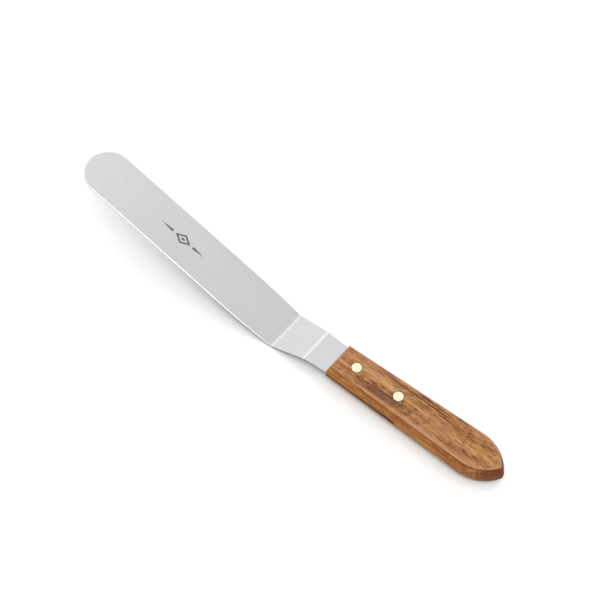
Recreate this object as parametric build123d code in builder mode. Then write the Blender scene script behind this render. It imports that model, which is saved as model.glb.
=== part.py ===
from build123d import *
import os
from math import acos, cos, degrees, radians, tan

# Offset palette knife, in millimetres, lying at rest: +X runs from the blade tip to the butt of the
# handle, +Z is up, z = 0 is the table. The heel bend and the flat underside of the handle touch the
# table and the blade rises toward its tip. The origin is the middle of the overall length.

# Blade strip: one piece of sheet steel from the tip to the end of the tang
blade_w = 32.0
blade_len = 165.5        # from the heel bend to the tip, along the blade
blade_rake = 16.0        # degrees between the blade and the table
sheet_t = 0.9
ramp_angle = 17.1        # degrees between the ramp and the table
shank_run = 16.8         # level distance from the upper bend to the handle
heel_bend_r = 5.0        # radius of the lower face at the heel bend
upper_bend_r = 8.5       # radius of the lower face at the upper bend
shoulder_r = 520.0       # wide convex curve where the blade starts to narrow
waist_r = 230.0          # concave curve that follows it, into the shank
shoulder_start = 38.0    # the narrowing starts this far on the tip side of the heel bend
shank_w = 22.0
tang_len = 50.1          # from the front of the handle to the end of the tang
tang_end_w = 16.0
tang_corner_r = 4.0
sheet_edge_r = 0.25

# Handle: one block of hardwood with a saw kerf for the tang. Widths and lengths are at mid-thickness.
handle_len = 121.6
handle_t = 15.0
handle_front_w = 23.1
handle_max_w = 27.6
arch_start = 98.2        # the pointed butt starts this far behind the front
butt_w = 1.2             # width of the blunted point
bulge = 2.6              # the sides and the front stand this far beyond the edge of the flat top
handle_edge_r = 0.9
kerf_len = 52.3
kerf_gap = 0.1           # kerf height beyond the sheet thickness

# Two-part compression rivets
rivet_places = {"front": 14.6, "rear": 45.7}   # distance behind the front of the handle
rivet_head_d = 6.6
rivet_head_t = 2.0
rivet_tube_d = 4.0
rivet_pin_d = 2.6
rivet_edge = 0.15
tube_to_head = 1.0       # gap between the end of the tube and the other half's head
pin_to_floor = 1.0       # gap between the end of the pin and the floor of the tube's bore
wood_clearance = 0.05    # radial, around the heads and the tubes
tang_clearance = 0.15    # radial, around the tubes in the tang
press_clearance = 0.01   # radial, between the pin and the bore of the tube

# The lower face of the strip turns at two sharp corners before the bends are rounded. The heel
# corner lies below the table by what its bend radius takes off.
half_turn = radians(blade_rake + ramp_angle) / 2
bisector_tilt = radians(ramp_angle - blade_rake) / 2
heel_corner_z = heel_bend_r * (1 - cos(bisector_tilt) / cos(half_turn))
mid_z = handle_t / 2
shank_z = mid_z - sheet_t / 2

# Places along X
blade_run = blade_len * cos(radians(blade_rake))
ramp_run = (shank_z - heel_corner_z) / tan(radians(ramp_angle))
overall = blade_run + ramp_run + shank_run + handle_len
heel_x = blade_run - overall / 2
upper_bend_x = heel_x + ramp_run
front_x = upper_bend_x + shank_run
butt_x = front_x + handle_len
rivet_x = {name: front_x + place for name, place in rivet_places.items()}


# ---------------------------------------------------------------- blade strip
with BuildPart() as strip_outline:
    # Plan outline of the strip. The round tip lies in the raked blade, so it is an ellipse in plan.
    narrowing = (blade_w - shank_w) / 2
    sweep_angle = degrees(acos(1 - narrowing / (shoulder_r + waist_r)))
    tip_r = blade_w / 2
    tip_centre_x = heel_x - blade_run + tip_r * cos(radians(blade_rake))
    with BuildSketch(Plane.XY):
        with BuildLine():
            EllipticalCenterArc(
                (tip_centre_x, 0),
                x_radius=tip_r * cos(radians(blade_rake)),
                y_radius=tip_r,
                start_angle=90,
                arc_size=90,
            )
            side = Line((tip_centre_x, tip_r), (heel_x - shoulder_start, tip_r))
            shoulder = JernArc(side @ 1, side % 1, shoulder_r, -sweep_angle)
            waist = JernArc(shoulder @ 1, shoulder % 1, waist_r, sweep_angle)
            tang_side = Line(waist @ 1, (front_x + tang_len, tang_end_w / 2))
            Line(tang_side @ 1, (front_x + tang_len, 0))
            mirror(about=Plane.XZ)
        make_face()
        tang_end = vertices().sort_by(Axis.X)[-2:]
        fillet(tang_end, tang_corner_r)
    extrude(amount=blade_run)

with BuildPart() as blade:
    # The bent strip, longer than needed at both ends, is cut to the outline.
    long_run = blade_run + tip_r
    with BuildSketch(Plane.XZ):
        with BuildLine():
            lower_face = Polyline(
                (heel_x - long_run, heel_corner_z + long_run * tan(radians(blade_rake))),
                (heel_x, heel_corner_z),
                (upper_bend_x, shank_z),
                (front_x + long_run, shank_z),
            )
            heel_corner, upper_corner = lower_face.vertices().sort_by(Axis.X)[1:3]
            fillet(heel_corner, heel_bend_r)
            fillet(upper_corner, upper_bend_r)
            offset(amount=sheet_t, side=Side.LEFT, closed=True)
        make_face()
    extrude(amount=blade_w / 2, both=True)
    add(strip_outline.part, mode=Mode.INTERSECT)
    # The upright walls are the cut edges of the sheet. Their long edges are rounded.
    walls = faces().filter_by(lambda face: abs(face.normal_at().Z) < 0.5)
    rims = [edge for wall in walls for edge in wall.edges() if edge.length > 2 * sheet_t]
    fillet(rims, sheet_edge_r)
    with Locations(*[(x, 0, mid_z) for x in rivet_x.values()]):
        Hole(rivet_tube_d / 2 + tang_clearance)
blade.part.label = "blade"


# ---------------------------------------------------------------- handle
with BuildPart() as handle:
    # One side's section is swept along its outline at mid-thickness, from ahead of the front to past
    # the butt, trimmed, and mirrored. The two sides meet in the point of the butt. The front has the
    # same bulge as the sides and meets them in sharp upright corners.
    lead = 4.0
    slope = (handle_max_w - handle_front_w) / 2 / arch_start
    with BuildLine(Plane.XY.offset(mid_z)) as side_path:
        taper = Line(
            (front_x - lead, handle_front_w / 2 - lead * slope),
            (front_x + arch_start, handle_max_w / 2),
        )
        arch = TangentArc(taper @ 1, (butt_x, butt_w / 2), tangent=taper % 1)
        Line(arch @ 1, arch @ 1 + lead * (arch % 1))
    start_plane = Plane(origin=side_path.line @ 0, x_dir=(0, 1, 0), z_dir=side_path.line % 0)
    inward = handle_max_w / 2 + 1.0
    with BuildSketch(start_plane):
        with BuildLine():
            ThreePointArc((-bulge, -mid_z), (0, 0), (-bulge, mid_z))
            Polyline((-bulge, mid_z), (-inward, mid_z), (-inward, -mid_z), (-bulge, -mid_z))
        make_face()
        fillet(vertices().sort_by(Axis.Y)[-2:], handle_edge_r)
    sweep(path=side_path.line)
    split(bisect_by=Plane.XZ, keep=Keep.BOTTOM)
    split(bisect_by=Plane.YZ.offset(butt_x), keep=Keep.BOTTOM)
    mirror(about=Plane.XZ)
    with BuildSketch(Plane.XZ):
        with BuildLine():
            flat_x = front_x + bulge
            ThreePointArc((flat_x, 0), (front_x, mid_z), (flat_x, handle_t))
            Polyline((flat_x, handle_t), (butt_x, handle_t), (butt_x, 0), (flat_x, 0))
        make_face()
    extrude(amount=handle_max_w, both=True, mode=Mode.INTERSECT)

    # Saw kerf for the tang, drawn about the front face so that it is open there and at both sides
    with BuildSketch(Plane.XZ):
        with Locations((front_x, mid_z)):
            Rectangle(2 * kerf_len, sheet_t + kerf_gap)
    extrude(amount=handle_max_w, both=True, mode=Mode.SUBTRACT)

    # Stepped rivet holes, sunk from the top and from the underside
    from_top = [Location((x, 0, handle_t)) for x in rivet_x.values()]
    from_below = [Location((x, 0, 0), (180, 0, 0)) for x in rivet_x.values()]
    with Locations(*from_top, *from_below):
        CounterBoreHole(
            rivet_tube_d / 2 + wood_clearance,
            rivet_head_d / 2 + wood_clearance,
            rivet_head_t,
            depth=mid_z,
        )
handle.part.label = "handle"


# ---------------------------------------------------------------- rivets
def disc(x, z, radius, height, mode=Mode.ADD):
    """A cylinder on the rivet's axis at x, from z up to z + height, in the part being built."""
    with BuildSketch(Plane.XY.offset(z)) as profile:
        with Locations((x, 0)):
            Circle(radius)
    extrude(profile.sketch, amount=height, mode=mode)


tube_foot_z = rivet_head_t + tube_to_head
bore_r = rivet_pin_d / 2 + press_clearance
bore_floor_z = handle_t - rivet_head_t
pin_len = bore_floor_z - pin_to_floor - rivet_head_t
rivets = []
for place, x in rivet_x.items():
    # Upper half: a head and a tube, bored from below
    with BuildPart() as female:
        disc(x, tube_foot_z, rivet_tube_d / 2, bore_floor_z - tube_foot_z)
        disc(x, bore_floor_z, rivet_head_d / 2, rivet_head_t)
        chamfer(edges().group_by(Axis.Z)[-1], rivet_edge)
        disc(x, tube_foot_z, bore_r, bore_floor_z - tube_foot_z, Mode.SUBTRACT)
    female.part.label = f"{place}_rivet_female"

    # Lower half: a head and a solid pin, pressed up into the tube
    with BuildPart() as male:
        disc(x, 0, rivet_head_d / 2, rivet_head_t)
        chamfer(edges().group_by(Axis.Z)[0], rivet_edge)
        disc(x, rivet_head_t, rivet_pin_d / 2, pin_len)
        chamfer(edges().group_by(Axis.Z)[-1], rivet_edge)
    male.part.label = f"{place}_rivet_male"
    rivets += [female.part, male.part]


os.makedirs("parts", exist_ok=True)
for piece in [blade.part, handle.part, *rivets]:
    export_step(piece, f"parts/{piece.label}.step")
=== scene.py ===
"""Looks of the offset palette knife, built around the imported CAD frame."""

import math

import bmesh
import bpy
import numpy as np
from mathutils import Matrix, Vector


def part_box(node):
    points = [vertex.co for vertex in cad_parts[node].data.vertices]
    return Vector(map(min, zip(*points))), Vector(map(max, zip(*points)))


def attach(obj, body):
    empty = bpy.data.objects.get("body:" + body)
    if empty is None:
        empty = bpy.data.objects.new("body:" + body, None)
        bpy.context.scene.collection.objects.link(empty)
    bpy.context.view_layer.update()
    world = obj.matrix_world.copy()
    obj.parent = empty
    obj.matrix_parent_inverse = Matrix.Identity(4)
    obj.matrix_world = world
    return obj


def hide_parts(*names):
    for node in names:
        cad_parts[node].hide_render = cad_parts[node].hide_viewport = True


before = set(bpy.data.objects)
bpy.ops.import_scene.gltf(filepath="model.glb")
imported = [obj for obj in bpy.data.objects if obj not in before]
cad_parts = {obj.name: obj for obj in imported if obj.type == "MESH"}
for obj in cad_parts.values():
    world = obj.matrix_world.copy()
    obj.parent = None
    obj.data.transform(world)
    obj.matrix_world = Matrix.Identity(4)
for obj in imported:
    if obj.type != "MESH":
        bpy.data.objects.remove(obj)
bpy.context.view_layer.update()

MM = 0.001

# ---------------------------------------------------------------- places taken from the frame
blade_lo, blade_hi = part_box("blade")
handle_lo, handle_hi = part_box("handle")
TIP_X = blade_lo.x
TANG_END_X = blade_hi.x
BLADE_HALF_W = blade_hi.y
FRONT_X = handle_lo.x
BUTT_X = handle_hi.x
HANDLE_HALF_W = handle_hi.y
HANDLE_T = handle_hi.z
MID_Z = HANDLE_T / 2
RIVET_X = {}
for place in ("front", "rear"):
    head_lo, head_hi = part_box(f"{place}_rivet_female")
    RIVET_X[place] = (head_lo.x + head_hi.x) / 2
HEAD_R = (head_hi.x - head_lo.x) / 2

# ---------------------------------------------------------------- shape constants
# Blade strip
SHEET = 0.9 * MM
RAKE = math.radians(16.0)         # blade against the table
RAMP = math.radians(17.1)         # ramp against the table
BLADE_LEN = 165.5 * MM            # tip to heel bend
HEEL_X = TIP_X + BLADE_LEN * math.cos(RAKE)
SHANK_RUN = 16.8 * MM             # upper bend to handle
HEEL_R = 5.0 * MM                 # radius of the lower face at the heel bend
UPPER_R = 8.5 * MM                # radius of the lower face at the upper bend
SHOULDER_R = 520.0 * MM
WAIST_R = 230.0 * MM
SHOULDER_START = 38.0 * MM        # on the tip side of the heel bend
SHANK_HALF_W = 11.0 * MM
TANG_HALF_W = 8.0 * MM
TANG_CORNER_R = 4.0 * MM
RIM_R = 0.25 * MM                 # rounding of the lower rim and of the ramp and tang rims
BEVEL_W = 0.38 * MM               # polished bevel round the blade's upper rim
BEVEL_TILT = math.radians(20)
BEVEL_LEFT = 0.03 * MM            # what stays of its width where it has run out
BEVEL_END = (6 * MM, 2 * MM)      # it runs out from this far before to this far behind the heel bend
BEVEL_SHARES = (0.12, 0.88, 1.0)  # points across it
BEVEL_SOFT = 0.10 * MM            # soft line between the bevel and the upper face
EDGE_R = 0.35 * MM                # rounding outside the bevel
TIP_STEPS = 40
TANG_CORNER_STEPS = 10
RIM_STEPS = 5
EDGE_STEPS = 7
BLADE_COLUMNS = 24
# Distance between points along the blade, the heel bend, the ramp, the upper bend and the tang
STRIP_SPACING = (1.8 * MM, 0.18 * MM, 1.2 * MM, 0.2 * MM, 1.6 * MM)
SLOPE_PROBE = 0.05 * MM

# Handle
FRONT_HALF_W = 11.55 * MM
ARCH_START = 98.2 * MM
BUTT_HALF_W = 0.6 * MM
BULGE = 2.6 * MM                  # sides and front beyond the edge of the flat top
CREASE_R_FRONT = 0.9 * MM
CREASE_R_BUTT = 0.7 * MM
CREASE_WAVES = ((0.10, 0.21, 0.0), (0.08, 0.083, 1.3))   # share, radians per millimetre, phase
CORNER_R = 0.4 * MM               # upright corners at the front
RIDGE_R = 0.5 * MM                # the butt's ridge at the flat top and underside
RIDGE_R_MID = 2.2 * MM            # and at mid-thickness
RIDGE_BLEND = 0.35 * MM           # inset over which the one turns into the other
KERF_LEN = 52.3 * MM
KERF_T = 1.0 * MM
CREASE_STEPS = 8
BULGE_STEPS = 10
CORNER_STEPS = 5
SIDE_STEPS = 72
ARCH_STEPS = 28
RIDGE_STEPS = 6
HANDLE_COLUMNS = 20
SUPPORT = 0.45 * MM               # a close loop that keeps the flat faces flat in smooth shading

# Rivets
HEAD_T = 2.0 * MM
TUBE_R = 2.0 * MM
BORE_R = 1.31 * MM
PIN_R = 1.3 * MM
HEAD_CHAMFER = 0.15 * MM
CHAMFER_KNEE = (0.35, 0.45)       # shares of the chamfer, inward and down, that break its corner
HEAD_CROWN = 0.05 * MM
CROWN_SHARES = (0.0, 0.25, 0.5, 0.75, 0.9, 1.0)
TUBE_CHAMFER = 0.2 * MM
TUBE_FOOT_Z = 3.0 * MM
PIN_END_Z = 12.0 * MM
WOOD_CLEARANCE = 0.05 * MM
TANG_CLEARANCE = 0.15 * MM
LATHE_STEPS = 96
PAST = 1.0 * MM                   # cutters run at least this far past the faces that they open

# Points closer than the first are joined, and edges shorter than the second are dissolved
MERGE_DIST = 1e-7
SHORTEST_EDGE = 1e-8

# Angles above which an edge is shaded sharp
SHARP_BLOCK = math.radians(35)
SHARP_LATHE = math.radians(30)


# ---------------------------------------------------------------- mesh helpers
def make_piece(name, points, faces):
    mesh = bpy.data.meshes.new(name)
    mesh.from_pydata([tuple(p) for p in points], [], faces)
    mesh.validate()
    piece = bpy.data.objects.new(name, mesh)
    bpy.context.scene.collection.objects.link(piece)
    return piece


def clean(piece, sharp):
    """Joins doubled points, turns every face outward and shades the piece smooth between sharp edges."""
    work = bmesh.new()
    work.from_mesh(piece.data)
    bmesh.ops.remove_doubles(work, verts=work.verts, dist=MERGE_DIST)
    bmesh.ops.dissolve_degenerate(work, edges=work.edges, dist=SHORTEST_EDGE)
    bmesh.ops.recalc_face_normals(work, faces=work.faces)
    work.to_mesh(piece.data)
    work.free()
    piece.data.shade_smooth()
    piece.data.set_sharp_from_angle(angle=sharp)
    piece.data.update()


def cut(piece, cutters):
    """Subtracts the cutters from the piece, for good."""
    clean(piece, SHARP_BLOCK)
    for cutter in cutters:
        clean(cutter, SHARP_LATHE)
    for cutter in cutters:
        step = piece.modifiers.new("cut", "BOOLEAN")
        step.operation = "DIFFERENCE"
        step.solver = "EXACT"
        step.object = cutter
    graph = bpy.context.evaluated_depsgraph_get()
    result = bpy.data.meshes.new_from_object(piece.evaluated_get(graph))
    piece.modifiers.clear()
    piece.data = result
    for cutter in cutters:
        bpy.data.objects.remove(cutter)
    clean(piece, SHARP_BLOCK)


def lathe(name, x, profile):
    """A closed solid of revolution about the vertical axis at x. The profile runs from axis to axis."""
    points, faces, rings = [], [], []
    for radius, z in profile:
        if radius == 0:
            rings.append([len(points)] * LATHE_STEPS)
            points.append((x, 0, z))
            continue
        ring = []
        for step in range(LATHE_STEPS):
            # Half a step off the axes, where a cut would meet points of the cut piece
            angle = 2 * math.pi * (step + 0.5) / LATHE_STEPS
            ring.append(len(points))
            points.append((x + radius * math.cos(angle), radius * math.sin(angle), z))
        rings.append(ring)
    for low, high in zip(rings, rings[1:]):
        bridge(faces, [*low, low[0]], [*high, high[0]])
    return make_piece(name, points, faces)


def bridge(faces, row_a, row_b):
    """Quads between two rows of the same length. Shared points turn a quad into a triangle."""
    for i in range(len(row_a) - 1):
        corners = list(dict.fromkeys([row_a[i], row_a[i + 1], row_b[i + 1], row_b[i]]))
        if len(corners) > 2:
            faces.append(corners)


def bridge_all(faces, rows):
    for row_a, row_b in zip(rows, rows[1:]):
        bridge(faces, row_a, row_b)


def span(points, left, right, columns):
    """A row from the left point to the right one, with new points evenly between them."""
    start, end = np.array(points[left]), np.array(points[right])
    row = [left]
    for column in range(1, columns):
        row.append(len(points))
        points.append(tuple(start + (end - start) * column / columns))
    return [*row, right]


def smooth_step(value, low, high):
    share = min(1.0, max(0.0, (value - low) / (high - low)))
    return share * share * (3 - 2 * share)


# ---------------------------------------------------------------- blade
def blade_path():
    """The strip's lower face in side view: its start at the tip, and pieces of length and curvature."""
    turn = (RAKE + RAMP) / 2
    heel_z = HEEL_R * (1 - math.cos((RAMP - RAKE) / 2) / math.cos(turn))
    upper_x = FRONT_X - SHANK_RUN
    upper_z = MID_Z - SHEET / 2
    heel_cut = HEEL_R * math.tan(turn)
    upper_cut = UPPER_R * math.tan(RAMP / 2)
    ramp_len = math.hypot(upper_x - HEEL_X, upper_z - heel_z)
    tip_z = heel_z + (HEEL_X - TIP_X) * math.tan(RAKE)
    return (TIP_X, tip_z), [
        ((HEEL_X - TIP_X) / math.cos(RAKE) - heel_cut, 0.0),
        (HEEL_R * 2 * turn, 1 / HEEL_R),
        (ramp_len - heel_cut - upper_cut, 0.0),
        (UPPER_R * RAMP, -1 / UPPER_R),
        (TANG_END_X - upper_x - upper_cut, 0.0),
    ]


PATH_START, PATH_PARTS = blade_path()
PATH_STOPS = np.cumsum([0.0] + [length for length, _ in PATH_PARTS])
STRIP_LEN = PATH_STOPS[-1]


def on_path(s):
    """Place and direction angle of the lower face at arc length s from the tip."""
    x, z = PATH_START
    angle = -RAKE
    for index, (length, curvature) in enumerate(PATH_PARTS):
        last = index == len(PATH_PARTS) - 1
        run = s - PATH_STOPS[index]
        if run > length and not last:
            run = length
        if curvature == 0.0:
            x += run * math.cos(angle)
            z += run * math.sin(angle)
        else:
            turned = angle + run * curvature
            x += (math.sin(turned) - math.sin(angle)) / curvature
            z += (math.cos(angle) - math.cos(turned)) / curvature
            angle = turned
        if s <= PATH_STOPS[index + 1]:
            break
    return x, z, angle


def strip_half_width(s):
    """Round tip, parallel blade, shoulder, waist, and the taper of the shank and tang."""
    if s < BLADE_HALF_W:
        return math.sqrt(max(0.0, s * (2 * BLADE_HALF_W - s)))
    x = on_path(s)[0]
    drop = BLADE_HALF_W - SHANK_HALF_W
    sweep = math.acos(1 - drop / (SHOULDER_R + WAIST_R))
    shoulder_x = HEEL_X - SHOULDER_START
    turn_x = shoulder_x + SHOULDER_R * math.sin(sweep)
    waist_x = turn_x + WAIST_R * math.sin(sweep)
    if x < shoulder_x:
        return BLADE_HALF_W
    if x < turn_x:
        return BLADE_HALF_W - SHOULDER_R + math.sqrt(SHOULDER_R**2 - (x - shoulder_x) ** 2)
    if x < waist_x:
        return SHANK_HALF_W + WAIST_R - math.sqrt(WAIST_R**2 - (waist_x - x) ** 2)
    share = (x - waist_x) / (TANG_END_X - waist_x)
    return SHANK_HALF_W + share * (TANG_HALF_W - SHANK_HALF_W)


def side_outline():
    """Half of the strip's flat outline, tip to tang end: rows of s, y and the outward normal."""
    rows = []
    for theta in np.linspace(0, math.pi / 2, TIP_STEPS):
        rows.append((
            BLADE_HALF_W * (1 - math.cos(theta)),
            BLADE_HALF_W * math.sin(theta),
            -math.cos(theta),
            math.sin(theta),
        ))
    corner_s = STRIP_LEN - TANG_CORNER_R
    stops = [BLADE_HALF_W, *PATH_STOPS[1:-1], corner_s]
    for start, end, gap in zip(stops, stops[1:], STRIP_SPACING):
        count = max(2, round((end - start) / gap))
        for s in np.linspace(start, end, count + 1)[1:]:
            rise = strip_half_width(s + SLOPE_PROBE) - strip_half_width(s - SLOPE_PROBE)
            slope = rise / (2 * SLOPE_PROBE)
            norm = math.hypot(1.0, slope)
            rows.append((s, strip_half_width(s), -slope / norm, 1 / norm))
    side_y, side_out_s, side_out_y = rows[-1][1:]
    lean = math.atan2(side_out_s, side_out_y)
    centre_y = side_y - TANG_CORNER_R * math.cos(lean)
    for theta in np.linspace(lean, math.pi / 2, TANG_CORNER_STEPS)[1:]:
        rows.append((
            corner_s + TANG_CORNER_R * math.sin(theta),
            centre_y + TANG_CORNER_R * math.cos(theta),
            math.sin(theta),
            math.cos(theta),
        ))
    return rows


def rim_profile(s):
    """The cut edge's section at s: pairs of inset from the outline and height above the lower face."""
    plain = smooth_step(s, PATH_STOPS[1] - BEVEL_END[0], PATH_STOPS[2] + BEVEL_END[1])
    bevel_w = BEVEL_W * (1 - plain) + BEVEL_LEFT
    tilt = BEVEL_TILT * (1 - plain)
    edge_r = EDGE_R + plain * (RIM_R - EDGE_R)
    pairs = [(RIM_R + SUPPORT, 0.0)]
    for phi in np.linspace(0, math.pi / 2, RIM_STEPS):
        pairs.append((RIM_R * (1 - math.sin(phi)), RIM_R * (1 - math.cos(phi))))
    centre_z = SHEET - bevel_w * math.tan(tilt) - edge_r * math.cos(tilt)
    for phi in np.linspace(0, math.pi / 2 - tilt, EDGE_STEPS):
        pairs.append((edge_r * (1 - math.cos(phi)), centre_z + edge_r * math.sin(phi)))
    start_inset, start_z = pairs[-1]
    for share in BEVEL_SHARES:
        run = share * bevel_w
        pairs.append((start_inset + run, start_z + run * math.tan(tilt)))
    pairs.append((start_inset + bevel_w + BEVEL_SOFT, SHEET))
    pairs.append((start_inset + bevel_w + SUPPORT, SHEET))
    return pairs


def build_blade():
    """The rim's section goes round the outline, and rows across the strip close its two faces."""
    side = side_outline()
    last = len(side) - 1
    end_y = side[-1][1]
    ring = list(side)
    for column in range(1, BLADE_COLUMNS):
        ring.append((STRIP_LEN, end_y * (1 - 2 * column / BLADE_COLUMNS), 1.0, 0.0))
    for s, y, out_s, out_y in reversed(side[1:]):
        ring.append((s, -y, out_s, -out_y))

    points, loops = [], []
    for s, y, out_s, out_y in ring:
        loop = []
        for inset, height in rim_profile(s):
            x, z, angle = on_path(s - inset * out_s)
            loop.append(len(points))
            points.append((x - height * math.sin(angle), y - inset * out_y, z + height * math.cos(angle)))
        loops.append(loop)
    faces = []
    bridge_all(faces, [*loops, loops[0]])
    for level in (0, -1):
        rows = [[loops[0][level]] * (BLADE_COLUMNS + 1)]
        for index in range(1, last):
            rows.append(span(points, loops[index][level], loops[-index][level], BLADE_COLUMNS))
        rows.append([loop[level] for loop in loops[last : last + BLADE_COLUMNS + 1]])
        bridge_all(faces, rows)

    piece = make_piece("blade_strip", points, faces)
    hole_r = TUBE_R + TANG_CLEARANCE
    hole = [(0, 0), (hole_r, 0), (hole_r, HANDLE_T), (0, HANDLE_T)]
    cut(piece, [lathe(f"tang_hole_{name}", x, hole) for name, x in RIVET_X.items()])
    return piece


# ---------------------------------------------------------------- handle
def crease_radius(x):
    """The hand-sanded creases are a little softer at the front than at the butt, and waver."""
    share = (x - FRONT_X) / (BUTT_X - FRONT_X)
    waver = sum(size * math.sin(x / MM * pace + phase) for size, pace, phase in CREASE_WAVES)
    return (CREASE_R_FRONT + share * (CREASE_R_BUTT - CREASE_R_FRONT)) * (1 + waver)


def edge_profile(crease_r):
    """The section of the block's edge, underside to top: pairs of inset and height from its middle."""
    bulge_r = (BULGE**2 + MID_Z**2) / (2 * BULGE)
    crease_z = MID_Z - crease_r
    crease_inset = bulge_r - math.sqrt((bulge_r - crease_r) ** 2 - crease_z**2)
    meet = math.asin(crease_z / (bulge_r - crease_r))
    half = [(crease_inset + SUPPORT, MID_Z)]
    for alpha in np.linspace(math.pi / 2, meet, CREASE_STEPS)[:-1]:
        half.append((crease_inset - crease_r * math.cos(alpha), crease_z + crease_r * math.sin(alpha)))
    for alpha in np.linspace(meet, 0, BULGE_STEPS):
        half.append((bulge_r * (1 - math.cos(alpha)), bulge_r * math.sin(alpha)))
    below = [(inset, -z) for inset, z in half]
    return below[:-1] + half[::-1]


def butt_arch():
    """The block's plan at mid-thickness: its sides' lean, and the centre and radius of the left arch."""
    lean = math.atan2(HANDLE_HALF_W - FRONT_HALF_W, ARCH_START)
    inward = np.array([math.sin(lean), -math.cos(lean)])
    arch_at = np.array([FRONT_X + ARCH_START, HANDLE_HALF_W])
    to_butt = np.array([BUTT_X, BUTT_HALF_W]) - arch_at
    radius = to_butt @ to_butt / (2 * (to_butt @ inward))
    return lean, arch_at + radius * inward, radius


def half_outline(inset):
    """Plan outline of the block's left half at that inset, from the front corner to the butt's ridge."""
    lean, centre, radius = butt_arch()
    arch_r = radius - inset
    blunt = math.exp(-((inset / RIDGE_BLEND) ** 2))
    ridge_r = RIDGE_R + (RIDGE_R_MID - RIDGE_R) * blunt
    ridge_x = centre[0] + math.sqrt((arch_r - ridge_r) ** 2 - centre[1] ** 2)
    arch_from = math.pi / 2 + lean
    arch_to = math.atan2(-centre[1], ridge_x - centre[0])

    def side_y(x):
        return FRONT_HALF_W + (x - FRONT_X) * math.tan(lean) - inset / math.cos(lean)

    corner_x = FRONT_X + inset + CORNER_R
    corner_y = side_y(corner_x) - CORNER_R
    end_x = centre[0] + arch_r * math.cos(arch_from)
    outline = []
    for angle in np.linspace(math.pi, math.pi / 2, CORNER_STEPS):
        outline.append((corner_x + CORNER_R * math.cos(angle), corner_y + CORNER_R * math.sin(angle)))
    for share in np.linspace(0, 1, SIDE_STEPS)[1:]:
        x = corner_x + share * (end_x - corner_x)
        outline.append((x, side_y(x)))
    for angle in np.linspace(arch_from, arch_to, ARCH_STEPS)[1:]:
        outline.append((centre[0] + arch_r * math.cos(angle), centre[1] + arch_r * math.sin(angle)))
    for angle in np.linspace(arch_to, 0, RIDGE_STEPS)[1:]:
        outline.append((ridge_x + ridge_r * math.cos(angle), ridge_r * math.sin(angle)))
    return outline


def kerf_cutter():
    """The saw's slot, which runs out past the front and both sides."""
    corners = [
        (x, y, z)
        for x in (FRONT_X - 2 * PAST, FRONT_X + KERF_LEN)
        for y in (-2 * HANDLE_HALF_W, 2 * HANDLE_HALF_W)
        for z in (MID_Z - KERF_T / 2, MID_Z + KERF_T / 2)
    ]
    sides = [(0, 1, 3, 2), (4, 6, 7, 5), (0, 4, 5, 1), (2, 3, 7, 6), (0, 2, 6, 4), (1, 5, 7, 3)]
    return make_piece("kerf", corners, sides)


def stepped_hole_cutter(name, x):
    """A rivet's hole, wide at both ends for the heads and running out past both faces."""
    head_r = HEAD_R + WOOD_CLEARANCE
    tube_r = TUBE_R + WOOD_CLEARANCE
    return lathe(f"stepped_hole_{name}", x, [
        (0, -PAST),
        (head_r, -PAST),
        (head_r, HEAD_T),
        (tube_r, HEAD_T),
        (tube_r, HANDLE_T - HEAD_T),
        (head_r, HANDLE_T - HEAD_T),
        (head_r, HANDLE_T + PAST),
        (0, HANDLE_T + PAST),
    ])


def build_handle():
    """Level outlines stacked from the underside to the top, closed by rows across the front and flats."""
    points, faces, loops = [], [], []

    def add(point):
        points.append(tuple(point))
        return len(points) - 1

    for level, (inset, _) in enumerate(edge_profile(CREASE_R_FRONT)):
        row = []
        for index, (x, _) in enumerate(half_outline(inset)):
            local_inset, local_height = edge_profile(crease_radius(x))[level]
            row.append((*half_outline(local_inset)[index], MID_Z + local_height))
        left = [add(point) for point in row[:-1]]
        right = [add((x, -y, z)) for x, y, z in row[:-1]]
        ridge = add((row[-1][0], 0.0, row[-1][2]))
        front = span(points, left[0], right[0], HANDLE_COLUMNS)
        loops.append((left, right, ridge, front))
    for (left_a, right_a, ridge_a, front_a), (left_b, right_b, ridge_b, front_b) in zip(loops, loops[1:]):
        bridge(faces, [*left_a, ridge_a], [*left_b, ridge_b])
        bridge(faces, [*right_a, ridge_a], [*right_b, ridge_b])
        bridge(faces, front_a, front_b)
    for left, right, ridge, front in (loops[0], loops[-1]):
        across = [span(points, a, b, HANDLE_COLUMNS) for a, b in zip(left[1:], right[1:])]
        bridge_all(faces, [front, *across, [ridge] * (HANDLE_COLUMNS + 1)])

    piece = make_piece("handle_block", points, faces)
    cut(piece, [kerf_cutter(), *[stepped_hole_cutter(name, x) for name, x in RIVET_X.items()]])
    return piece


# ---------------------------------------------------------------- rivets
def head_profile(face_z, back_z):
    """From the axis on the shown face, slightly crowned, over the chamfer to the back of the head."""
    away = 1 if face_z > back_z else -1
    flat_r = HEAD_R - HEAD_CHAMFER
    pairs = [(share * flat_r, face_z - away * HEAD_CROWN * share**2) for share in CROWN_SHARES]
    inward, down = CHAMFER_KNEE
    pairs.append((HEAD_R - inward * HEAD_CHAMFER, face_z - away * (HEAD_CROWN + down * HEAD_CHAMFER)))
    pairs.append((HEAD_R, face_z - away * (HEAD_CHAMFER + HEAD_CROWN)))
    pairs.append((HEAD_R, back_z))
    return pairs


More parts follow.
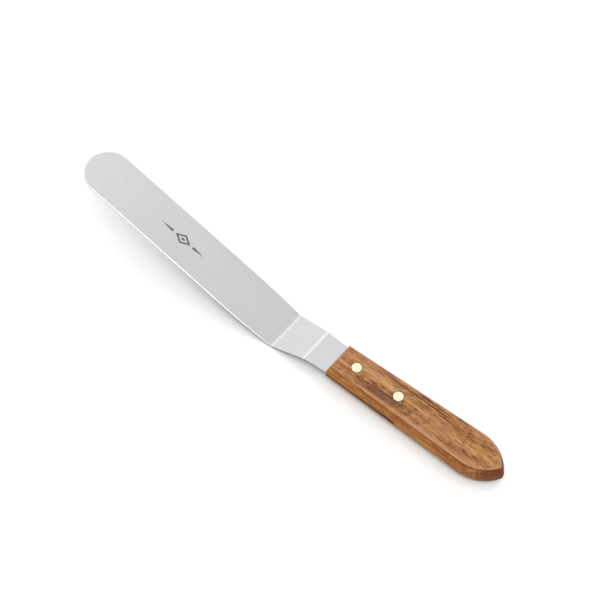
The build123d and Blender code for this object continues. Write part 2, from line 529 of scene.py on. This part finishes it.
def build_rivet(name):
    """The two halves of one rivet: the upper one with the tube, the lower one with the pin."""
    female = head_profile(HANDLE_T, HANDLE_T - HEAD_T) + [
        (TUBE_R, HANDLE_T - HEAD_T),
        (TUBE_R, TUBE_FOOT_Z + TUBE_CHAMFER),
        (TUBE_R - TUBE_CHAMFER, TUBE_FOOT_Z),
        (BORE_R, TUBE_FOOT_Z),
        (BORE_R, HANDLE_T - HEAD_T),
        (0, HANDLE_T - HEAD_T),
    ]
    male = head_profile(0.0, HEAD_T) + [
        (PIN_R, HEAD_T),
        (PIN_R, PIN_END_Z - HEAD_CHAMFER),
        (PIN_R - HEAD_CHAMFER, PIN_END_Z),
        (0, PIN_END_Z),
    ]
    halves = {}
    for kind, profile in (("female", female), ("male", male)):
        half = lathe(f"{name}_rivet_{kind}_half", RIVET_X[name], profile)
        clean(half, SHARP_LATHE)
        halves[f"{name}_rivet_{kind}"] = half
    return halves


# ---------------------------------------------------------------- node trees
NOISE_SPAN = (0.3, 0.7)           # most values of a noise lie in here


class Graph:
    """A node tree of a material or of the world, with short calls for the nodes used here."""

    def __init__(self, owner, kind, coords):
        owner.use_nodes = True
        self.owner = owner
        self.tree = owner.node_tree
        self.tree.nodes.clear()
        self.output = self.node(f"ShaderNodeOutput{kind}")
        self.coords = self.node("ShaderNodeTexCoord").outputs[coords]

    def node(self, kind, inputs=None, **settings):
        made = self.tree.nodes.new(kind)
        for key, value in settings.items():
            setattr(made, key, value)
        for key, value in (inputs or {}).items():
            socket = made.inputs[key]
            if isinstance(value, bpy.types.NodeSocket):
                self.tree.links.new(value, socket)
            elif socket.type == "RGBA":
                socket.default_value = (*value, 1.0)
            else:
                socket.default_value = value
        return made

    def math(self, operation, a, b=0.0, clamp=False):
        return self.node("ShaderNodeMath", {0: a, 1: b}, operation=operation, use_clamp=clamp).outputs[0]

    def add(self, a, b):
        return self.math("ADD", a, b)

    def minus(self, a, b):
        return self.math("SUBTRACT", a, b)

    def times(self, a, b):
        return self.math("MULTIPLY", a, b)

    def size(self, value):
        return self.math("ABSOLUTE", value)

    def hypot(self, a, b):
        return self.math("SQRT", self.add(self.times(a, a), self.times(b, b)))

    def band(self, value, low, high, out_low=0.0, out_high=1.0):
        """Smoothly maps low..high to out_low..out_high, and holds outside."""
        return self.node(
            "ShaderNodeMapRange",
            {"Value": value, "From Min": low, "From Max": high, "To Min": out_low, "To Max": out_high},
            interpolation_type="SMOOTHSTEP",
        ).outputs["Result"]

    def window(self, value, low, high, soft):
        """1 between low and high, with edges that are soft over that distance on both sides."""
        rise = self.band(value, low - soft, low + soft)
        return self.times(rise, self.band(value, high - soft, high + soft, 1.0, 0.0))

    def choose(self, factor, a, b):
        """The number a where the factor is 0, and b where it is 1."""
        return self.node("ShaderNodeMix", {0: factor, 2: a, 3: b}, data_type="FLOAT").outputs[0]

    def mix(self, factor, a, b, blend="MIX"):
        """The colour a where the factor is 0, and b, or a blended with b, where it is 1."""
        return self.node(
            "ShaderNodeMix",
            {0: factor, 6: a, 7: b},
            data_type="RGBA",
            blend_type=blend,
            clamp_result=False,
        ).outputs[2]

    def tint(self, factor, a, b):
        return self.mix(factor, a, b, "MULTIPLY")

    def ramp(self, factor, stops):
        made = self.node("ShaderNodeValToRGB", {"Fac": factor})
        made.color_ramp.interpolation = "EASE"
        points = made.color_ramp.elements
        while len(points) < len(stops):
            points.new(0.5)
        for point, (position, color) in zip(points, stops):
            point.position = position
            point.color = (*color, 1.0)
        return made.outputs["Color"]

    def split(self, vector):
        return self.node("ShaderNodeSeparateXYZ", {"Vector": vector}).outputs

    def join(self, x, y, z):
        return self.node("ShaderNodeCombineXYZ", {0: x, 1: y, 2: z}).outputs[0]

    def facing(self):
        """The outward direction of the surface, before smoothing and bump, as X, Y and Z."""
        return self.split(self.node("ShaderNodeNewGeometry").outputs["True Normal"])

    def noise(self, cells, detail, rough=0.5, offset=(0, 0, 0), source=None, turn=(0, 0, 0)):
        """Noise with that many cells per millimetre along X, Y and Z."""
        place = self.node("ShaderNodeMapping", {
            "Vector": source or self.coords,
            "Location": offset,
            "Rotation": turn,
            "Scale": tuple(value / MM for value in cells),
        }).outputs[0]
        return self.node("ShaderNodeTexNoise", {
            "Vector": place,
            "Scale": 1.0,
            "Detail": detail,
            "Roughness": rough,
        }).outputs["Fac"]

    def bump(self, height, strength, distance):
        inputs = {"Height": height, "Strength": strength, "Distance": distance}
        return self.node("ShaderNodeBump", inputs).outputs["Normal"]

    def surface(self, kind, **inputs):
        """Ends the tree with a shader of that kind."""
        named = {key.replace("_", " "): value for key, value in inputs.items()}
        shader = self.node(f"ShaderNode{kind}", named)
        self.tree.links.new(shader.outputs[0], self.output.inputs["Surface"])


def new_material(name):
    return Graph(bpy.data.materials.new(name), "Material", "Object")


# ---------------------------------------------------------------- steel
# Noise cells per millimetre
BRUSH_LINES = (0.05, 6.0, 6.0)
BRUSH_STREAKS = (0.010, 0.55, 0.55)
STEEL_CLOUDS = (0.012, 0.03, 0.03)

# Linear reflectance of the steel, and how far each noise moves it either way
STEEL_TONE = 0.62
LINES_TONE = 0.012
STREAKS_TONE = 0.008
CLOUDS_TONE = 0.004
STEEL_COOL = 1.003                # blue against red and green
STEEL_ROUGH = (0.20, 0.23)
LINES_ROUGH = 0.03
STEEL_BUMP = (0.06, 0.02 * MM)    # strength and depth
ETCH_TONE = (0.085, 0.082, 0.080)
ETCH_ROUGH = 0.25
ETCH_DEPTH = 2.0                  # against the depth of the brushing
ETCH_METAL = 0.6                  # how much of the metallic look the etching takes away
# Cut edges: their duller tone, with painted shade on top of it
CUT_DULL_AND_SHADE_TONE = (0.30, 0.30, 0.31)
CUT_DULL_AND_SHADE_AMOUNT = 0.85
CUT_ROUGH = 0.20
# Painted shade on the -Y side's bevel, from this far behind the tip to the heel
BEVEL_SHADE_TONE = (0.15, 0.15, 0.155)
BEVEL_SHADE_SHARE = (0.20, 0.88)         # near the tip and at the heel
BEVEL_SHADE_FROM = 40.0 * MM

# Ornament, etched on the blade
ORNAMENT_FROM_TIP = 76.0 * MM
LOZENGE_HALF_LEN = 6.0 * MM
LOZENGE_HALF_W = 3.6 * MM
LOZENGE_INNER = 0.62              # size of the open field inside the lozenge's frame
LOZENGE_CORE = 0.28               # size of the solid lozenge in the middle
BAR_FROM = 7.8 * MM
BAR_TO = 18.5 * MM
BAR_HALF = 0.85 * MM
ETCH_EDGE = 0.06 * MM


def steel_material():
    """Satin spring steel, brushed along the strip, with a small etched ornament on the blade."""
    g = new_material("satin_steel")
    lines = g.noise(BRUSH_LINES, 4, 0.6)
    streaks = g.noise(BRUSH_STREAKS, 3)
    clouds = g.noise(STEEL_CLOUDS, 2, offset=(3, 1, 2))
    tone = g.add(
        g.band(lines, *NOISE_SPAN, -LINES_TONE, LINES_TONE),
        g.band(streaks, *NOISE_SPAN, -STREAKS_TONE, STREAKS_TONE),
    )
    tone = g.add(tone, g.band(clouds, *NOISE_SPAN, -CLOUDS_TONE, CLOUDS_TONE))
    bright = g.add(tone, STEEL_TONE)
    color = g.join(bright, bright, g.times(bright, STEEL_COOL))
    rough = g.add(
        g.band(lines, 0.2, 0.8, -LINES_ROUGH, LINES_ROUGH),
        g.band(clouds, *NOISE_SPAN, *STEEL_ROUGH),
    )

    etched = g.times(ornament(g), g.band(lines, 0.15, 0.55, 0.80, 1.0))
    color = g.mix(etched, color, ETCH_TONE)
    rough = g.add(rough, g.times(etched, ETCH_ROUGH))
    normal = g.bump(g.minus(lines, g.times(etched, ETCH_DEPTH)), *STEEL_BUMP)
    metal = g.minus(1.0, g.times(etched, ETCH_METAL))

    # The cut edges of the sheet are duller than its faces, and darkened further as painted shade
    facing = g.facing()
    cut_edge = g.band(g.size(facing["Z"]), 0.25, 0.50, 1.0, 0.0)
    color = g.mix(g.times(cut_edge, CUT_DULL_AND_SHADE_AMOUNT), color, CUT_DULL_AND_SHADE_TONE)
    rough = g.add(rough, g.times(cut_edge, CUT_ROUGH))

    # Painted shade: the bevel on the -Y side is darkened toward the heel, which tones its highlight down
    bevel = g.band(facing["Y"], -0.30, -0.15, 1.0, 0.0)
    along = g.split(g.coords)["X"]
    bevel_shade = g.times(bevel, g.band(along, TIP_X + BEVEL_SHADE_FROM, TIP_X + BLADE_LEN, *BEVEL_SHADE_SHARE))
    color = g.mix(bevel_shade, color, BEVEL_SHADE_TONE)
    g.surface("BsdfPrincipled", Base_Color=color, Metallic=metal, Roughness=rough, Normal=normal)
    return g.owner


def ornament(g):
    """Mask of a plain lozenge between two tapered bars, on the upper face of the blade only."""
    x, y, _ = g.split(g.coords)
    along = g.size(g.minus(x, TIP_X + ORNAMENT_FROM_TIP))
    off = g.size(y)
    slant = g.add(g.times(along, LOZENGE_HALF_W / LOZENGE_HALF_LEN), off)

    def within(size):
        edge = LOZENGE_HALF_W * size
        return g.band(slant, edge - ETCH_EDGE, edge + ETCH_EDGE, 1.0, 0.0)

    lozenge = g.add(g.minus(within(1.0), within(LOZENGE_INNER)), within(LOZENGE_CORE))
    taper = g.minus(g.band(along, BAR_FROM, BAR_TO, BAR_HALF, 0.0), off)
    bars = g.times(g.band(taper, -ETCH_EDGE, ETCH_EDGE), g.window(along, BAR_FROM, BAR_TO, ETCH_EDGE))
    upward = g.band(g.facing()["Z"], 0.5, 0.8)
    return g.times(g.math("ADD", lozenge, bars, clamp=True), upward)


# ---------------------------------------------------------------- wood
# Colours, as linear reflectance
WOOD_GOLD = (0.460, 0.242, 0.098)
WOOD_BASE = (0.325, 0.142, 0.044)
WOOD_BROWN = (0.220, 0.080, 0.022)
WOOD_DEEP = (0.125, 0.036, 0.010)
WOOD_DARK = (0.055, 0.014, 0.005)
WOOD_PLUM = (0.150, 0.058, 0.034)
WOOD_ORANGE = (0.480, 0.180, 0.050)
# Pale wood; on the creases it also stands for painted highlight
WOOD_PALE = (0.44, 0.235, 0.135)
# Painted shade of the kerf, also the colour of the old oil round the rivets
WOOD_KERF_SHADE_AND_OIL = (0.020, 0.008, 0.004)
WOOD_TONES = [(0.355, WOOD_DEEP), (0.432, WOOD_BROWN), (0.500, WOOD_BASE), (0.590, WOOD_GOLD)]

# Tints that multiply the colour
FIBRE_TINT = (1.22, 1.20, 1.16)
# The sides: a more orange hue, and painted shade that darkens them a little against the top
SIDE_HUE_AND_SHADE = (1.07, 0.91, 0.55)
# The butt: its darker end grain, and painted shade on its faces
END_GRAIN_AND_SHADE_TINT = (0.40, 0.27, 0.20)
OIL_TINT = (0.762, 0.757, 0.790)

# Rings of the tree: their heart in Y and Z, how far they wander, and how the grain turns across them
RING_CENTRE = (38.0 * MM, -52.0 * MM)
RING_SWAY = 3.0 * MM
SWAY_CELLS = (0.016, 0.06, 0.06)
TANGENT_SHARE = 0.35

# Layers of the grain: length and width of a spot in millimetres, offset, detail and roughness
WOOD_LAYERS = {
    "figure": (42.0, 4.2, (2.0, 0.4, 1.0), 3, 0.5),
    "streak": (24.0, 0.62, (1.0, 3.0, 5.0), 3, 0.55),
    "fleck": (2.8, 0.45, (8.0, 2.0, 4.0), 2, 0.6),
    "fibre": (5.0, 0.11, (0.0, 6.0, 2.0), 3, 0.6),
    "vessel": (1.9, 0.32, (4.0, 1.0, 9.0), 1, 0.5),
    "hair": (1.8, 0.07, (3.0, 9.0, 5.0), 1, 0.5),
    "dash": (13.0, 0.30, (11.0, 7.0, 3.0), 2, 0.55),
}
FIGURE_SHARE = 0.28
STREAK_SHARE = 0.36
FLECK_SHARE = 0.36
# Values of a layer's noise over which its marks appear, and how dark they are
PORE_SPAN = (0.57, 0.68)
HAIR_SPAN = (0.60, 0.70)
DASH_SPAN = (0.53, 0.60)
PORE_DARKNESS = 0.80
HAIR_DARKNESS = 0.45
FIBRE_GLEAM = 0.30

# Darker and paler places of this block: centre, half size, colour and strength. Places on the block
# are from the front of the handle and from its middle plane.
WOOD_PATCHES = [
    ((36.0 * MM, -5.4 * MM), (19.0 * MM, 2.6 * MM), WOOD_PLUM, 0.75),
    ((15.0 * MM, 7.5 * MM), (22.0 * MM, 4.0 * MM), WOOD_BROWN, 0.32),
    ((34.0 * MM, 8.6 * MM), (7.0 * MM, 1.3 * MM), WOOD_DEEP, 0.55),
    ((72.0 * MM, 6.8 * MM), (12.0 * MM, 1.0 * MM), WOOD_DEEP, 0.20),
    ((75.0 * MM, 3.6 * MM), (16.0 * MM, 0.30 * MM), WOOD_DEEP, 0.50),
    ((76.0 * MM, -2.0 * MM), (24.0 * MM, 3.6 * MM), WOOD_GOLD, 0.35),
    ((46.0 * MM, 10.3 * MM), (14.0 * MM, 0.8 * MM), WOOD_ORANGE, 0.55),
    ((82.0 * MM, 11.3 * MM), (24.0 * MM, 0.8 * MM), WOOD_ORANGE, 0.60),
]
PATCH_RAG_X = 30.0 * MM           # how far the grain drags a patch's edge along and across the block
PATCH_RAG_Y = 3.0 * MM
DASH_PLACE = (62.0 * MM, 7.6 * MM)
DASH_HALF = (44.0 * MM, 3.6 * MM)
DASH_EVERYWHERE = 0.16
DASH_IN_PLACE = 0.74
SIDE_SPAN = (0.55, 0.92)          # how far the surface faces up or down, from side to flat
SIDE_EVENNESS = 0.22
END_GRAIN_AND_SHADE_SPAN = (0.15, 0.70)     # how far it faces the butt
END_GRAIN_AND_SHADE_AMOUNT = 0.95
FRONT_SPAN = (-0.60, -0.30)       # how far it faces the front
FRONT_PALE = 0.55
CREASE_RUB_AND_HIGHLIGHT = (0.15 * MM, 0.75 * MM)           # pale line on the crease, partly rubbed and partly painted highlight, from its middle to its rim
BELOW_CREASE_SHADE_START = (1.0 * MM, 0.75 * MM)     # painted shade: dark line below it, by distance outside the crease
BELOW_CREASE_SHADE_END = (0.65 * MM, 0.35 * MM)
# A pale, glossier band on the flats beside the creases: its width, depth, place and strength
PALE_BAND_WIDTH = (1.6 * MM, 3.2 * MM)              # inside the crease
PALE_BAND_DEPTH = (0.9 * MM, 0.3 * MM)              # below the flat
PALE_BAND_PLACE = (83.0 * MM, -11.0 * MM)
PALE_BAND_HALF = (28.0 * MM, 8.0 * MM)
PALE_BAND_EVERYWHERE = 0.05
PALE_BAND_IN_PLACE = 0.42
KERF_SHADE_AND_OIL_AMOUNT = 0.9
KERF_SHADE_HALF = (0.55 * KERF_T, 1.05 * KERF_T)     # half its height at the front and at the kerf's end
KERF_SHADE_OVERRUN = 0.3 * MM           # beyond the kerf's end
KERF_SHADE_EDGE = 0.15 * MM
OIL_RING = (0.10 * MM, 0.55 * MM)  # dark ring round a rivet's head, from and to beyond its rim
OIL_RING_AMOUNT = 0.75
FIBRE_ROUGH = (0.40, 0.48)
PORE_ROUGH = 0.2
PALE_BAND_GLOSS = 0.10
FIBRE_HEIGHT = 0.35               # against the depth of the pores
WOOD_BUMP = (0.3, 0.07 * MM)      # strength and depth
WOOD_SPECULAR = 0.15


class Wood(Graph):
    """The block's node tree, with the places and the layers of grain that its details share."""

    def __init__(self):
        super().__init__(bpy.data.materials.new("oiled_hardwood"), "Material", "Object")
        self.x, self.y, self.z = self.split(self.coords)
        self.behind_front = self.minus(self.x, FRONT_X)
        self.off_middle = self.size(self.minus(self.z, MID_Z))
        self.inward = self.math("MINIMUM", self.side_inset(), self.behind_front)
        self.face = self.facing()
        grain = self.grain_space()
        for name, (length, width, offset, detail, rough) in WOOD_LAYERS.items():
            cells = (0.5 / length, 0.5 / width, 0.5 / width)
            setattr(self, name, self.noise(cells, detail, rough, offset, grain))
        pores = self.band(self.vessel, *PORE_SPAN)
        self.pores = self.times(pores, self.band(self.figure, 0.35, 0.65, 1.0, 0.45))
        self.hairs = self.band(self.hair, *HAIR_SPAN)

    def grain_space(self):
        """Coordinates along the block, across the rings and round them."""
        wander = self.noise(SWAY_CELLS, 2, offset=(7, 3, 1))
        sway = self.times(self.minus(wander, 0.5), RING_SWAY)
        ring_y = self.add(self.minus(self.y, RING_CENTRE[0]), sway)
        ring_z = self.minus(self.z, RING_CENTRE[1])
        tangent = self.times(self.add(ring_y, ring_z), TANGENT_SHARE)
        return self.join(self.x, self.hypot(ring_y, ring_z), tangent)

    def side_inset(self):
        """Distance inward from the outline at mid-thickness, along its sides and round its butt."""
        lean, centre, radius = butt_arch()
        off = self.size(self.y)
        half_width = self.add(self.times(self.behind_front, math.tan(lean)), FRONT_HALF_W)
        to_side = self.minus(half_width, off)
        from_centre = self.hypot(self.minus(self.x, centre[0]), self.minus(off, centre[1]))
        past_start = self.math("GREATER_THAN", self.x, FRONT_X + ARCH_START)
        return self.choose(past_start, to_side, self.minus(radius, from_centre))

    def spot(self, x, y, centre, half, soft=0.5):
        """1 inside an ellipse on the block, fading to 0 round its rim."""
        along = self.math("DIVIDE", self.minus(x, FRONT_X + centre[0]), half[0])
        across = self.math("DIVIDE", self.minus(y, centre[1]), half[1])
        return self.band(self.hypot(along, across), 1 - soft, 1 + soft, 1.0, 0.0)

    def along(self, start, end, at_start, at_end):
        """A share that changes between two distances behind the front."""
        return self.band(self.x, FRONT_X + start, FRONT_X + end, at_start, at_end)


def ring_tones(w):
    """Broad figure, long streaks and short flecks, as one colour."""
    mixed = w.add(w.times(w.figure, FIGURE_SHARE), w.times(w.streak, STREAK_SHARE))
    mixed = w.add(mixed, w.times(w.fleck, FLECK_SHARE))
    return w.ramp(mixed, WOOD_TONES)


def with_patches(w, color):
    """Places of another colour on the top, and dark dashes that are thickest along its far side."""
    upper = w.band(w.z, 0.6 * HANDLE_T, 0.8 * HANDLE_T)
    ragged_x = w.add(w.x, w.times(w.minus(w.streak, 0.5), PATCH_RAG_X))
    ragged_y = w.add(w.y, w.times(w.minus(w.fleck, 0.5), PATCH_RAG_Y))
    for centre, half, tone, strength in WOOD_PATCHES:
        mask = w.times(w.spot(ragged_x, ragged_y, centre, half), upper)
        color = w.mix(w.times(mask, strength), color, tone)
    in_place = w.spot(ragged_x, w.y, DASH_PLACE, DASH_HALF, 0.35)
    amount = w.add(w.times(in_place, DASH_IN_PLACE), DASH_EVERYWHERE)
    return w.mix(w.times(w.band(w.dash, *DASH_SPAN), amount), color, WOOD_DARK)


def with_pores(w, color):
    color = w.mix(w.times(w.pores, PORE_DARKNESS), color, WOOD_DARK)
    color = w.mix(w.times(w.hairs, HAIR_DARKNESS), color, WOOD_DARK)
    return w.tint(w.band(w.fibre, 0.35, 0.70, 0.0, FIBRE_GLEAM), color, FIBRE_TINT)


def with_faces(w, color):
    """The sides are more even and more orange than the top, and a little darker as painted shade. The
    butt is darkest, partly its end grain and partly painted shade.
    """
    side = w.band(w.size(w.face["Z"]), *SIDE_SPAN, 1.0, 0.0)
    color = w.mix(w.times(side, SIDE_EVENNESS), color, WOOD_BASE)
    # Painted shade on the sides, with their more orange hue
    color = w.tint(side, color, SIDE_HUE_AND_SHADE)
    # Painted shade on the faces toward the butt, with their darker end grain
    end_grain_and_shade = w.band(w.face["X"], *END_GRAIN_AND_SHADE_SPAN)
    return w.tint(w.times(end_grain_and_shade, END_GRAIN_AND_SHADE_AMOUNT), color, END_GRAIN_AND_SHADE_TINT)


def rubbed_and_highlight_mask(w):
    """The creases, less near the front, rubbed pale with a painted highlight on them, and the front face
    paler.
    """
    to_crease = w.hypot(w.minus(w.inward, BULGE), w.minus(w.off_middle, MID_Z))
    crease = w.band(to_crease, *CREASE_RUB_AND_HIGHLIGHT, 1.0, 0.0)
    crease = w.times(crease, w.band(w.streak, 0.3, 0.6, 0.35, 0.75))
    crease = w.times(crease, w.along(4 * MM, 30 * MM, 0.45, 1.0))
    return w.math("MAXIMUM", crease, w.band(w.face["X"], *FRONT_SPAN, FRONT_PALE, 0.0))


def below_crease_shade_mask(w):
    """A thin dark line of painted shade on the side, just below the crease."""
    outside = w.minus(BULGE, w.inward)
    line = w.band(outside, *BELOW_CREASE_SHADE_START)
    line = w.times(line, w.band(outside, *BELOW_CREASE_SHADE_END, 1.0, 0.0))
    return w.times(line, w.along(55 * MM, 70 * MM, 0.35, 0.95))


def pale_band_mask(w):
    """A broad pale band on the flats beside the creases, strongest on the -Y side toward the butt."""
    pale_band = w.band(w.minus(w.inward, BULGE), *PALE_BAND_WIDTH, 1.0, 0.0)
    pale_band = w.times(pale_band, w.band(w.minus(MID_Z, w.off_middle), *PALE_BAND_DEPTH))
    in_place = w.spot(w.x, w.y, PALE_BAND_PLACE, PALE_BAND_HALF, 0.3)
    pale_band = w.times(pale_band, w.add(w.times(in_place, PALE_BAND_IN_PLACE), PALE_BAND_EVERYWHERE))
    return w.times(pale_band, w.band(w.streak, 0.35, 0.60, 0.55, 1.0))


def kerf_shade_and_oil_mask(w):
    """Painted shade in and beside the saw kerf, darkest at its end, and a ring of old oil round each
    rivet head.
    """
    reach = w.along(0.0, KERF_LEN, *KERF_SHADE_HALF)
    dark = w.band(w.minus(reach, w.off_middle), -KERF_SHADE_EDGE, KERF_SHADE_EDGE)
    dark = w.times(dark, w.along(0.0, 0.8 * KERF_LEN, 0.60, 1.0))
    dark = w.times(dark, w.math("LESS_THAN", w.x, FRONT_X + KERF_LEN + KERF_SHADE_OVERRUN))
    for rivet_x in RIVET_X.values():
        radius = w.hypot(w.minus(w.x, rivet_x), w.y)
        ring = w.band(radius, HEAD_R + OIL_RING[0], HEAD_R + OIL_RING[1], OIL_RING_AMOUNT, 0.0)
        dark = w.math("MAXIMUM", dark, ring)
    return dark


def wood_material():
    """Oiled hardwood, sawn from beside the heart of the tree, so its rings run along the block."""
    w = Wood()
    pale_band = pale_band_mask(w)
    color = with_faces(w, with_pores(w, with_patches(w, ring_tones(w))))
    # Painted highlight on the creases, with their rubbing, and the paler front face
    color = w.mix(rubbed_and_highlight_mask(w), color, WOOD_PALE)
    # Painted shade below the creases
    color = w.mix(below_crease_shade_mask(w), color, WOOD_DEEP)
    color = w.mix(pale_band, color, WOOD_PALE)
    # Painted shade in the kerf, and old oil round the rivets
    color = w.mix(w.times(kerf_shade_and_oil_mask(w), KERF_SHADE_AND_OIL_AMOUNT), color, WOOD_KERF_SHADE_AND_OIL)
    color = w.tint(1.0, color, OIL_TINT)
    rough = w.add(w.band(w.fibre, *NOISE_SPAN, *FIBRE_ROUGH), w.times(w.pores, PORE_ROUGH))
    rough = w.minus(rough, w.times(pale_band, PALE_BAND_GLOSS))
    height = w.minus(w.times(w.fibre, FIBRE_HEIGHT), w.math("MAXIMUM", w.pores, w.hairs))
    normal = w.bump(height, *WOOD_BUMP)
    w.surface(
        "BsdfPrincipled",
        Base_Color=color,
        Roughness=rough,
        Normal=normal,
        Specular_IOR_Level=WOOD_SPECULAR,
    )
    return w.owner


# ---------------------------------------------------------------- brass
BRASS_PALE = (0.86, 0.85, 0.66)
BRASS_WARM = (0.80, 0.77, 0.54)
BRASS_LINE = (0.66, 0.60, 0.40)
BRASS_CLOUDS = (0.55, 0.55, 0.55)  # cells per millimetre
GRIND_LINES = (0.6, 6.0, 6.0)
GRIND_TURN = (0, 0, 0.5)           # radians against the handle's length
BRASS_ROUGH = (0.26, 0.38)
BRASS_BUMP = (0.14, 0.02 * MM)


def brass_material():
    """Pale brass, ground flush with the wood."""
    g = new_material("pale_brass")
    grind = g.noise(GRIND_LINES, 4, 0.6, turn=GRIND_TURN)
    clouds = g.noise(BRASS_CLOUDS, 3)
    color = g.mix(g.band(clouds, 0.35, 0.65), BRASS_PALE, BRASS_WARM)
    color = g.mix(g.band(grind, 0.4, 0.7, 0.0, 0.35), color, BRASS_LINE)
    rough = g.band(grind, *NOISE_SPAN, *BRASS_ROUGH)
    normal = g.bump(grind, *BRASS_BUMP)
    g.surface("BsdfPrincipled", Base_Color=color, Metallic=1.0, Roughness=rough, Normal=normal)
    return g.owner


# ---------------------------------------------------------------- pieces
def set_material(piece, finish):
    piece.data.materials.clear()
    piece.data.materials.append(finish)


brass = brass_material()
pieces = [
    ("blade", build_blade(), steel_material(), "blade_steel"),
    ("handle", build_handle(), wood_material(), "handle_wood"),
]
for place in RIVET_X:
    for node, half in build_rivet(place).items():
        pieces.append((node, half, brass, "rivet_brass"))
for node, piece, finish, slot in pieces:
    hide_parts(node)
    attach(piece, "root")
    set_material(piece, finish)
    set_material(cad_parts[node], finish)


# ---------------------------------------------------------------- floor, light and camera
FLOOR_HALF = 3.0
FLOOR_VALUE = (0.67, 0.69)
FLOOR_ROUGH = 0.9
FLOOR_HAZE = (0.004, 0.004, 0.004)  # cells per millimetre

SKY = 1.41                          # radiance of the surroundings where they light the scene
SKY_SLOPE = 0.50                    # and how much brighter they are toward +Y
CURTAIN = [                         # radiance that shiny surfaces see, against the X of its direction
    (-1.0, 1.10),
    (-0.72, 1.13),
    (-0.60, 1.50),
    (-0.46, 1.55),
    (-0.37, 0.99),
    (-0.28, 1.02),
    (-0.18, 1.19),
    (-0.03, 1.19),
    (0.05, 0.98),
    (0.09, 0.91),
    (0.45, 0.88),
]
CURTAIN_TOP = 1.7                   # radiance that the curtain's ramp shows as 1
EDGE_GLOW = (-0.58, -0.34, -0.10)   # a bright strip near overhead, by the Y of its direction
EDGE_GLOW_TOP = 1.2

KEY_AZIMUTH = 50.6
KEY_ELEVATION = 65.0
KEY_DISTANCE = 2.2
KEY_SIZE = 1.2
KEY_RADIANCE = 4.4

CAMERA_AZIMUTH = 39.3
CAMERA_ELEVATION = 56.4
CAMERA_DISTANCE = 870.4 * MM
CAMERA_LENS = 84.0
CAMERA_SENSOR = 36.0
CAMERA_CLIP = (0.01, 50.0)
CAMERA_TARGET = Vector((-6.5, 20.0, 7.0)) * MM


def build_floor():
    half = FLOOR_HALF
    corners = [(-half, -half, 0), (half, -half, 0), (half, half, 0), (-half, half, 0)]
    floor = make_piece("studio_floor", corners, [(0, 1, 2, 3)])
    g = new_material("studio_floor")
    value = g.band(g.noise(FLOOR_HAZE, 2, 0.55), 0.2, 0.8, *FLOOR_VALUE)
    color = g.node("ShaderNodeCombineColor", {"Red": value, "Green": value, "Blue": value}).outputs[0]
    g.surface("BsdfPrincipled", Base_Color=color, Roughness=FLOOR_ROUGH, Specular_IOR_Level=0.0)
    floor.data.materials.append(g.owner)


def build_world():
    """White surroundings. What shiny surfaces see in them is toned apart from what lights the scene."""
    g = Graph(bpy.data.worlds.new("studio"), "World", "Generated")
    x, y, _ = g.split(g.coords)
    share = g.node("ShaderNodeMapRange", {"Value": x, "From Min": -1.0, "From Max": 1.0}).outputs[0]
    curtain = g.ramp(share, [((at + 1) / 2, (level / CURTAIN_TOP,) * 3) for at, level in CURTAIN])
    low, middle, high = EDGE_GLOW
    edge_glow = g.times(g.times(g.band(y, low, middle), g.band(y, high, middle)), EDGE_GLOW_TOP)
    shiny = g.add(g.times(curtain, CURTAIN_TOP), edge_glow)
    dome = g.add(g.times(y, SKY_SLOPE), SKY)
    is_glossy = g.node("ShaderNodeLightPath").outputs["Is Glossy Ray"]
    g.surface("Background", Color=(1.0, 1.0, 1.0), Strength=g.choose(is_glossy, dome, shiny))
    bpy.context.scene.world = g.owner


def stand(name, data, azimuth, elevation, distance, target):
    """Puts a light or a camera that far from its target, facing it. Azimuth 0 is the -Y side."""
    a, e = math.radians(azimuth), math.radians(elevation)
    towards = Vector((math.sin(a) * math.cos(e), -math.cos(a) * math.cos(e), math.sin(e)))
    made = bpy.data.objects.new(name, data)
    made.location = target + towards * distance
    made.rotation_mode = "QUATERNION"
    made.rotation_quaternion = towards.to_track_quat("Z", "Y")
    bpy.context.scene.collection.objects.link(made)
    return made


def build_key():
    """One soft square light."""
    data = bpy.data.lights.new("key", "AREA")
    data.shape = "RECTANGLE"
    data.size = data.size_y = KEY_SIZE
    data.energy = KEY_RADIANCE * math.pi * KEY_SIZE * KEY_SIZE
    stand("key", data, KEY_AZIMUTH, KEY_ELEVATION, KEY_DISTANCE, Vector((0, 0, 0)))


def build_camera():
    data = bpy.data.cameras.new("camera")
    data.lens = CAMERA_LENS
    data.sensor_width = CAMERA_SENSOR
    data.clip_start, data.clip_end = CAMERA_CLIP
    camera = stand("camera", data, CAMERA_AZIMUTH, CAMERA_ELEVATION, CAMERA_DISTANCE, CAMERA_TARGET)
    bpy.context.scene.camera = camera


build_floor()
build_world()
build_key()
build_camera()
scene = bpy.context.scene
scene.view_settings.view_transform = "Standard"
scene.view_settings.look = "None"
